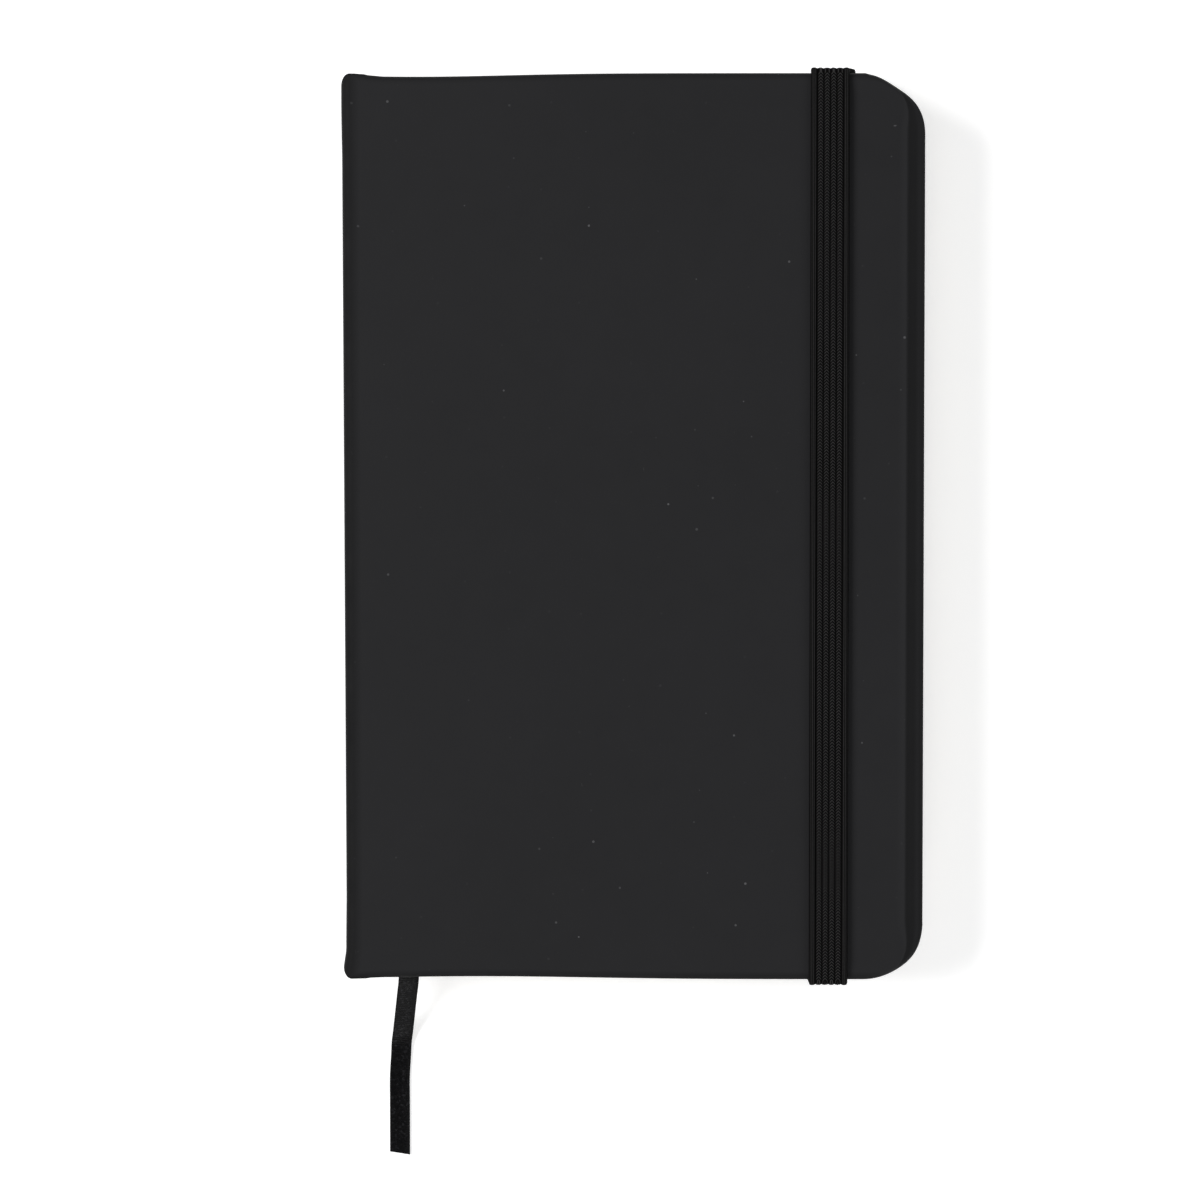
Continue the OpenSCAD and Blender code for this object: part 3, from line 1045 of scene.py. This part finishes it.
def strap_band():
    """The length across the front cover, with its turns over the head and tail edges."""
    path = turn(-HALF_L, CLOSED_T, 180, 90, STRAP_GAP) + turn(HALF_L, CLOSED_T, 90, 0, STRAP_GAP)
    return strap_sweep("strap_woven_band", path, lambda run, left: pulled_thin(min(run, left)))


def strap_leg(side, name):
    """The length up the head or tail edge. The head leg lies a little askew."""
    bottom = low("strap_head_leg")[2]
    askew = 1.1 * MM if side > 0 else 0.0

    def lean(z):
        return askew * smooth_step((CLOSED_T - z) / (3 * MM)) * smooth_step((z - bottom) / (7 * MM))

    y = side * (HALF_L + STRAP_GAP)
    path = [(y, z, side, 0) for z in (bottom, CLOSED_T)]
    return strap_sweep(name, path, lambda run, left: pulled_thin(0), lean)


def strap_anchor(side, name):
    """The end: round the lower edge, along the channel, up through the slot and flat inside the board."""
    slot_y = HALF_L - SLOT_INSET
    rise_z = PANEL_T - STRAP_T - STRAP_GAP
    path = turn(HALF_L, low("strap_head_leg")[2], 0, -90, STRAP_GAP)
    path += turn(slot_y + rise_z - STRAP_T, rise_z, -90, -180, rise_z - STRAP_T)
    path += turn(slot_y - PANEL_T + rise_z, rise_z, 0, 90, PANEL_T - rise_z, flip=-1)
    path += [(slot_y - TAB_L, PANEL_T, 0, -1)]
    path = [(side * y, z, side * ny, nz) for y, z, ny, nz in path]
    return strap_sweep(name, path, lambda run, left: pulled_thin(run))


# ---- ribbon


def ribbon_mesh(name, left, right, normal, thickness, slant=0.0):
    """Flat ribbon between two lines of points, with a slight crown and thinner woven edges."""
    centre = (left + right) / 2
    tangent = directions(centre)
    along = running_length(centre)
    across = np.linspace(-1, 1, 13)
    loop = [(a, 1) for a in across] + [(a, -1) for a in reversed(across)]
    verts = []
    uvs = []
    for i, length in enumerate(along):
        end = smooth_step((length - (along[-1] - SLANT_OVER)) / SLANT_OVER)
        for a, face in loop:
            crown = 0.08 * MM * (1 - a * a) - 0.04 * MM
            half_t = face * (0.6 if abs(a) == 1 else 1.0) * thickness / 2
            flat = (left[i] * (1 - a) + right[i] * (1 + a)) / 2
            verts.append(tuple(flat + normal[i] * (crown + half_t) + tangent[i] * slant * a * end))
            uvs.append((a * RIBBON_W / 2 / MM, length / MM))
    faces = tube_faces(len(along), len(loop))
    return make_object(name, verts, faces, [RIBBON], uvs=uvs, sharp_deg=WOVEN_SHARP_DEG)


def ribbon_strip(name, centre, thickness, side_at, slant=0.0):
    """Ribbon of full width along a line. side_at turns its width from one direction to another."""
    centre = np.array(centre, float)
    tangent = directions(centre)
    side = np.array([side_at(i / (len(centre) - 1)) for i in range(len(centre))], float)
    side -= tangent * np.sum(side * tangent, axis=1)[:, None]
    side /= np.linalg.norm(side, axis=1)[:, None]
    normal = np.cross(side, tangent)
    half = side * RIBBON_W / 2
    return ribbon_mesh(name, centre - half, centre + half, normal, thickness, slant)


def opened(x):
    """Where a point between the middle pages goes when the book is opened flat."""
    angle = math.pi / 2 * smooth_step((GUTTER_X - x) / (GUTTER_X - PAGE_X0))
    dx, dz = x - OPEN_X, MID_Z - OPEN_Z
    return np.stack([dx * np.cos(angle) - dz * np.sin(angle), dx * np.sin(angle) + dz * np.cos(angle)], -1)


def held_edges(x_head, x_exit):
    """x of both edges of the ribbon between the pages, straight and of full width once they are opened."""
    x = np.linspace(PAGE_X0, PAGE_X0 + 14 * MM, 1400)
    page = running_length(opened(x))
    start, end = (np.interp(v, x, page) for v in (x_head, x_exit))
    centre = np.linspace(start, end, HELD_CUTS + 1)
    return [np.interp(centre + offset, page, x) for offset in (-RIBBON_W / 2, RIBBON_W / 2)]


def smooth_line(points):
    """Catmull-Rom line, in metres, through points in millimetres."""
    p = np.array(points, float) * MM
    p = np.vstack([2 * p[0] - p[1], p, 2 * p[-1] - p[-2]])
    line = []
    for a, b, c, d in zip(p, p[1:], p[2:], p[3:]):
        for s in range(SPAN_CUTS):
            t = s / SPAN_CUTS
            bent = (2 * a - 5 * b + 4 * c - d) * t * t + (3 * b - a - 3 * c + d) * t**3
            line.append(0.5 * (2 * b + (c - a) * t + bent))
    line.append(p[-2])
    return np.array(line)


# ---- build


def place(piece, body, slot, *nodes):
    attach(piece, body)
    if nodes:
        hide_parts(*nodes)


def bend(piece, a, b, start, end, slot, *nodes):
    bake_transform(piece)
    if nodes:
        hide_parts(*nodes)


def build_ribbon_tail():
    """The free end, which hangs out at the tail and lies on the table."""
    line = smooth_line(RIBBON_ROUTE)
    tail = ribbon_strip("ribbon_free_end", line, RIBBON_T, lambda t: (1, 0, 0), slant=0.25 * MM)
    place(tail, "ribbon", "ribbon", "ribbon_tail")


def build_ribbon_held():
    """The length between the pages, the loop over their head and the end glued to the spine."""
    head_y, exit_y = high("ribbon_held")[1], low("ribbon_held")[1]
    edges = held_edges(PAGE_X0 + RIBBON_HEAD_X, RIBBON_ROUTE[0][0] * MM)
    y = np.linspace(head_y, exit_y, HELD_CUTS + 1)
    z = np.full(len(y), MID_Z)
    left, right = (np.stack([x, y, z], 1) for x in edges)
    up = np.tile((0.0, 0.0, 1.0), (len(y), 1))
    held = ribbon_mesh("ribbon_between_pages", left, right, up, RIBBON_T)
    thin = RIBBON_T * 0.8
    glued_x, glued_y = middle("ribbon_glued_end")[0], low("ribbon_glued_end")[1]
    glued = [(glued_x, v, MID_Z) for v in np.linspace(glued_y, head_y, 20)]
    end = ribbon_strip("ribbon_end_on_spine", glued, thin, lambda t: (0, 0, 1))
    place(end, "spine", "ribbon", "ribbon_glued_end")
    line = smooth_line(OVER_HEAD_ROUTE) + np.array([0, 0, MID_Z])

    def twist(t):
        angle = math.pi / 2 * (1 - float(smooth_step(t)))
        return (math.cos(angle), 0.0, math.sin(angle))

    over = ribbon_strip("ribbon_over_head", line, thin, twist)
    for piece, nodes in ((held, ["ribbon_held"]), (over, [])):
        bend(piece, "back_cover", "spine", (GUTTER_X, 0, 0), (PAGE_X0, 0, 0), "ribbon", *nodes)


def build_case():
    """Both covers and the spine: skins, and the boards inside them."""
    back = cover_skin("back_leatherette", False)
    back_board = cover_board("back_greyboard", False)
    for piece in (back, back_board):
        cut_channels(piece)
    bend(back, "back_cover", "spine", (SPINE_X + BEND_R, 0, 0), (SPINE_X, 0, 0), "cover_skin", "back_skin")
    place(back_board, "back_cover", "greyboard", "back_board")
    front = cover_skin("front_leatherette", True)
    start, end = (SPINE_X, 0, 0), (SPINE_X + BEND_R, 0, 0)
    bend(front, "front_pages", "front_cover", start, end, "cover_skin", "front_skin")
    place(cover_board("front_greyboard", True), "front_cover", "greyboard", "front_board")
    top = CLOSED_T - BEND_R
    wrap = spine_wrap()
    bend(wrap, "spine", "front_pages", (0, 0, top - HINGE_H), (0, 0, top), "cover_skin", "spine_skin")
    place(spine_strip(), "spine", "greyboard", "spine_board")


def build_pages():
    """The sewn sections, and each half's free leaf, pastedown and joint."""
    gutter = ((GUTTER_X, 0, 0), (PAGE_X0, 0, 0))
    for number in range(1, SECTIONS + 1):
        node = f"section_{number:02d}"
        piece = folded_section(f"{node}_sheets", node)
        pages = "back_cover" if number <= SECTIONS // 2 else "front_pages"
        bend(piece, pages, "spine", *gutter, "page_paper", node)
    leaf_t = extent("back_flyleaf")[2]
    leaf_z = middle("back_flyleaf")[2]
    paste_x, paste_y, _ = high("back_pastedown")
    paste_t = extent("back_pastedown")[2]
    paste_z = middle("back_pastedown")[2]
    for half, cover, pages in (("back", "back_cover", "back_cover"), ("front", "front_cover", "front_pages")):
        front = half == "front"
        points = [(x, leaf_z) for x in page_columns(PAGE_X0, PAGE_X1, PAGE_R)]
        leaf = paper(f"{half}_flyleaf_sheet", points, PAGE_X1, PAGE_Y, leaf_t, front)
        bend(leaf, pages, "spine", *gutter, "endpaper", f"{half}_flyleaf")
        points = pastedown_points(paste_z, paste_x)
        paste = paper(f"{half}_pastedown_sheet", points, paste_x, paste_y, paste_t, front)
        place(paste, cover, "endpaper", f"{half}_pastedown")
        build_endpaper_joint(half, front, cover, pages, leaf_z, leaf_t)


def build_endpaper_joint(half, front, cover, pages, leaf_z, leaf_t):
    """Where the endpaper crosses from the cover to the text block."""
    skin_side = (-43.4 * MM, 0, 1.0 * MM)
    leaf_side = (-42.5 * MM, 0, 2.3 * MM)
    if front:
        skin_side, leaf_side = ((x, y, CLOSED_T - z) for x, y, z in (skin_side, leaf_side))
        under_z = leaf_z - leaf_t / 2 - LAP_T
        points = joint_points(under_z, GUTTER_X)
        lap = paper("front_endpaper_lap", points, PAGE_X1, PAGE_Y, LAP_T, True)
        bend(lap, pages, cover, leaf_side, skin_side, "endpaper")
    points = joint_points(leaf_z, PAGE_X0)
    hinge = paper(f"{half}_endpaper_hinge", points, PAGE_X1, PAGE_Y, 0.08 * MM, front)
    bend(hinge, pages, "spine", skin_side, leaf_side, "endpaper")


def build_strap():
    """The elastic band: the length across the front, and a leg and an end at the head and the tail."""
    place(strap_band(), "strap", "elastic", "strap_band")
    for side, end in ((1, "head"), (-1, "tail")):
        leg = strap_leg(side, f"strap_woven_{end}_leg")
        place(leg, "back_cover", "elastic", f"strap_{end}_leg")
        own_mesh(leg)
        anchor = strap_anchor(side, f"strap_woven_{end}_end")
        place(anchor, "back_cover", "elastic", f"strap_{end}_anchor")


def dress_cad_nodes():
    """Materials for the CAD pieces that show as they are."""
    looks = {"spine_lining": KRAFT, "mull": GAUZE, "sewing_thread": THREAD}
    for node, material in looks.items():
        for material_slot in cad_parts[node].material_slots:
            material_slot.link = "OBJECT"
            material_slot.material = material


def build_stage():
    """Pale floor and soft light from above."""
    reach = 3.0
    corners = [(-reach, -reach, 0), (reach, -reach, 0), (reach, reach, 0), (-reach, reach, 0)]
    floor = make_object("floor", corners, [(0, 1, 2, 3)], [floor_material()])
    floor.location.z = -0.02 * MM  # just under the book, so that the two don't flicker
    world = bpy.data.worlds.new("studio")
    world.use_nodes = True
    background = world.node_tree.nodes["Background"]
    background.inputs["Color"].default_value = (0.97, 0.98, 1.0, 1)
    background.inputs["Strength"].default_value = 0.24
    bpy.context.scene.world = world
    # Name, place, width in metres and power in watts
    lights = [
        ("left_softbox", (-1.1, 0.25, 1.0), 0.7, 20.0),
        ("tail_softbox", (0.1, -1.15, 0.75), 0.8, 6.0),
        ("right_softbox", (1.2, 0.3, 0.9), 0.8, 5.0),
    ]
    for name, where, width, power in lights:
        data = bpy.data.lights.new(name, "AREA")
        data.shape = "SQUARE"
        data.size = width
        data.energy = power
        light = bpy.data.objects.new(name, data)
        bpy.context.collection.objects.link(light)
        light.location = where
        light.rotation_mode = "QUATERNION"
        light.rotation_quaternion = (-Vector(where)).to_track_quat("-Z", "Y")
    bpy.context.scene.view_settings.view_transform = "Standard"


build_ribbon_tail()
build_case()
build_pages()
build_ribbon_held()
build_strap()
dress_cad_nodes()
build_stage()
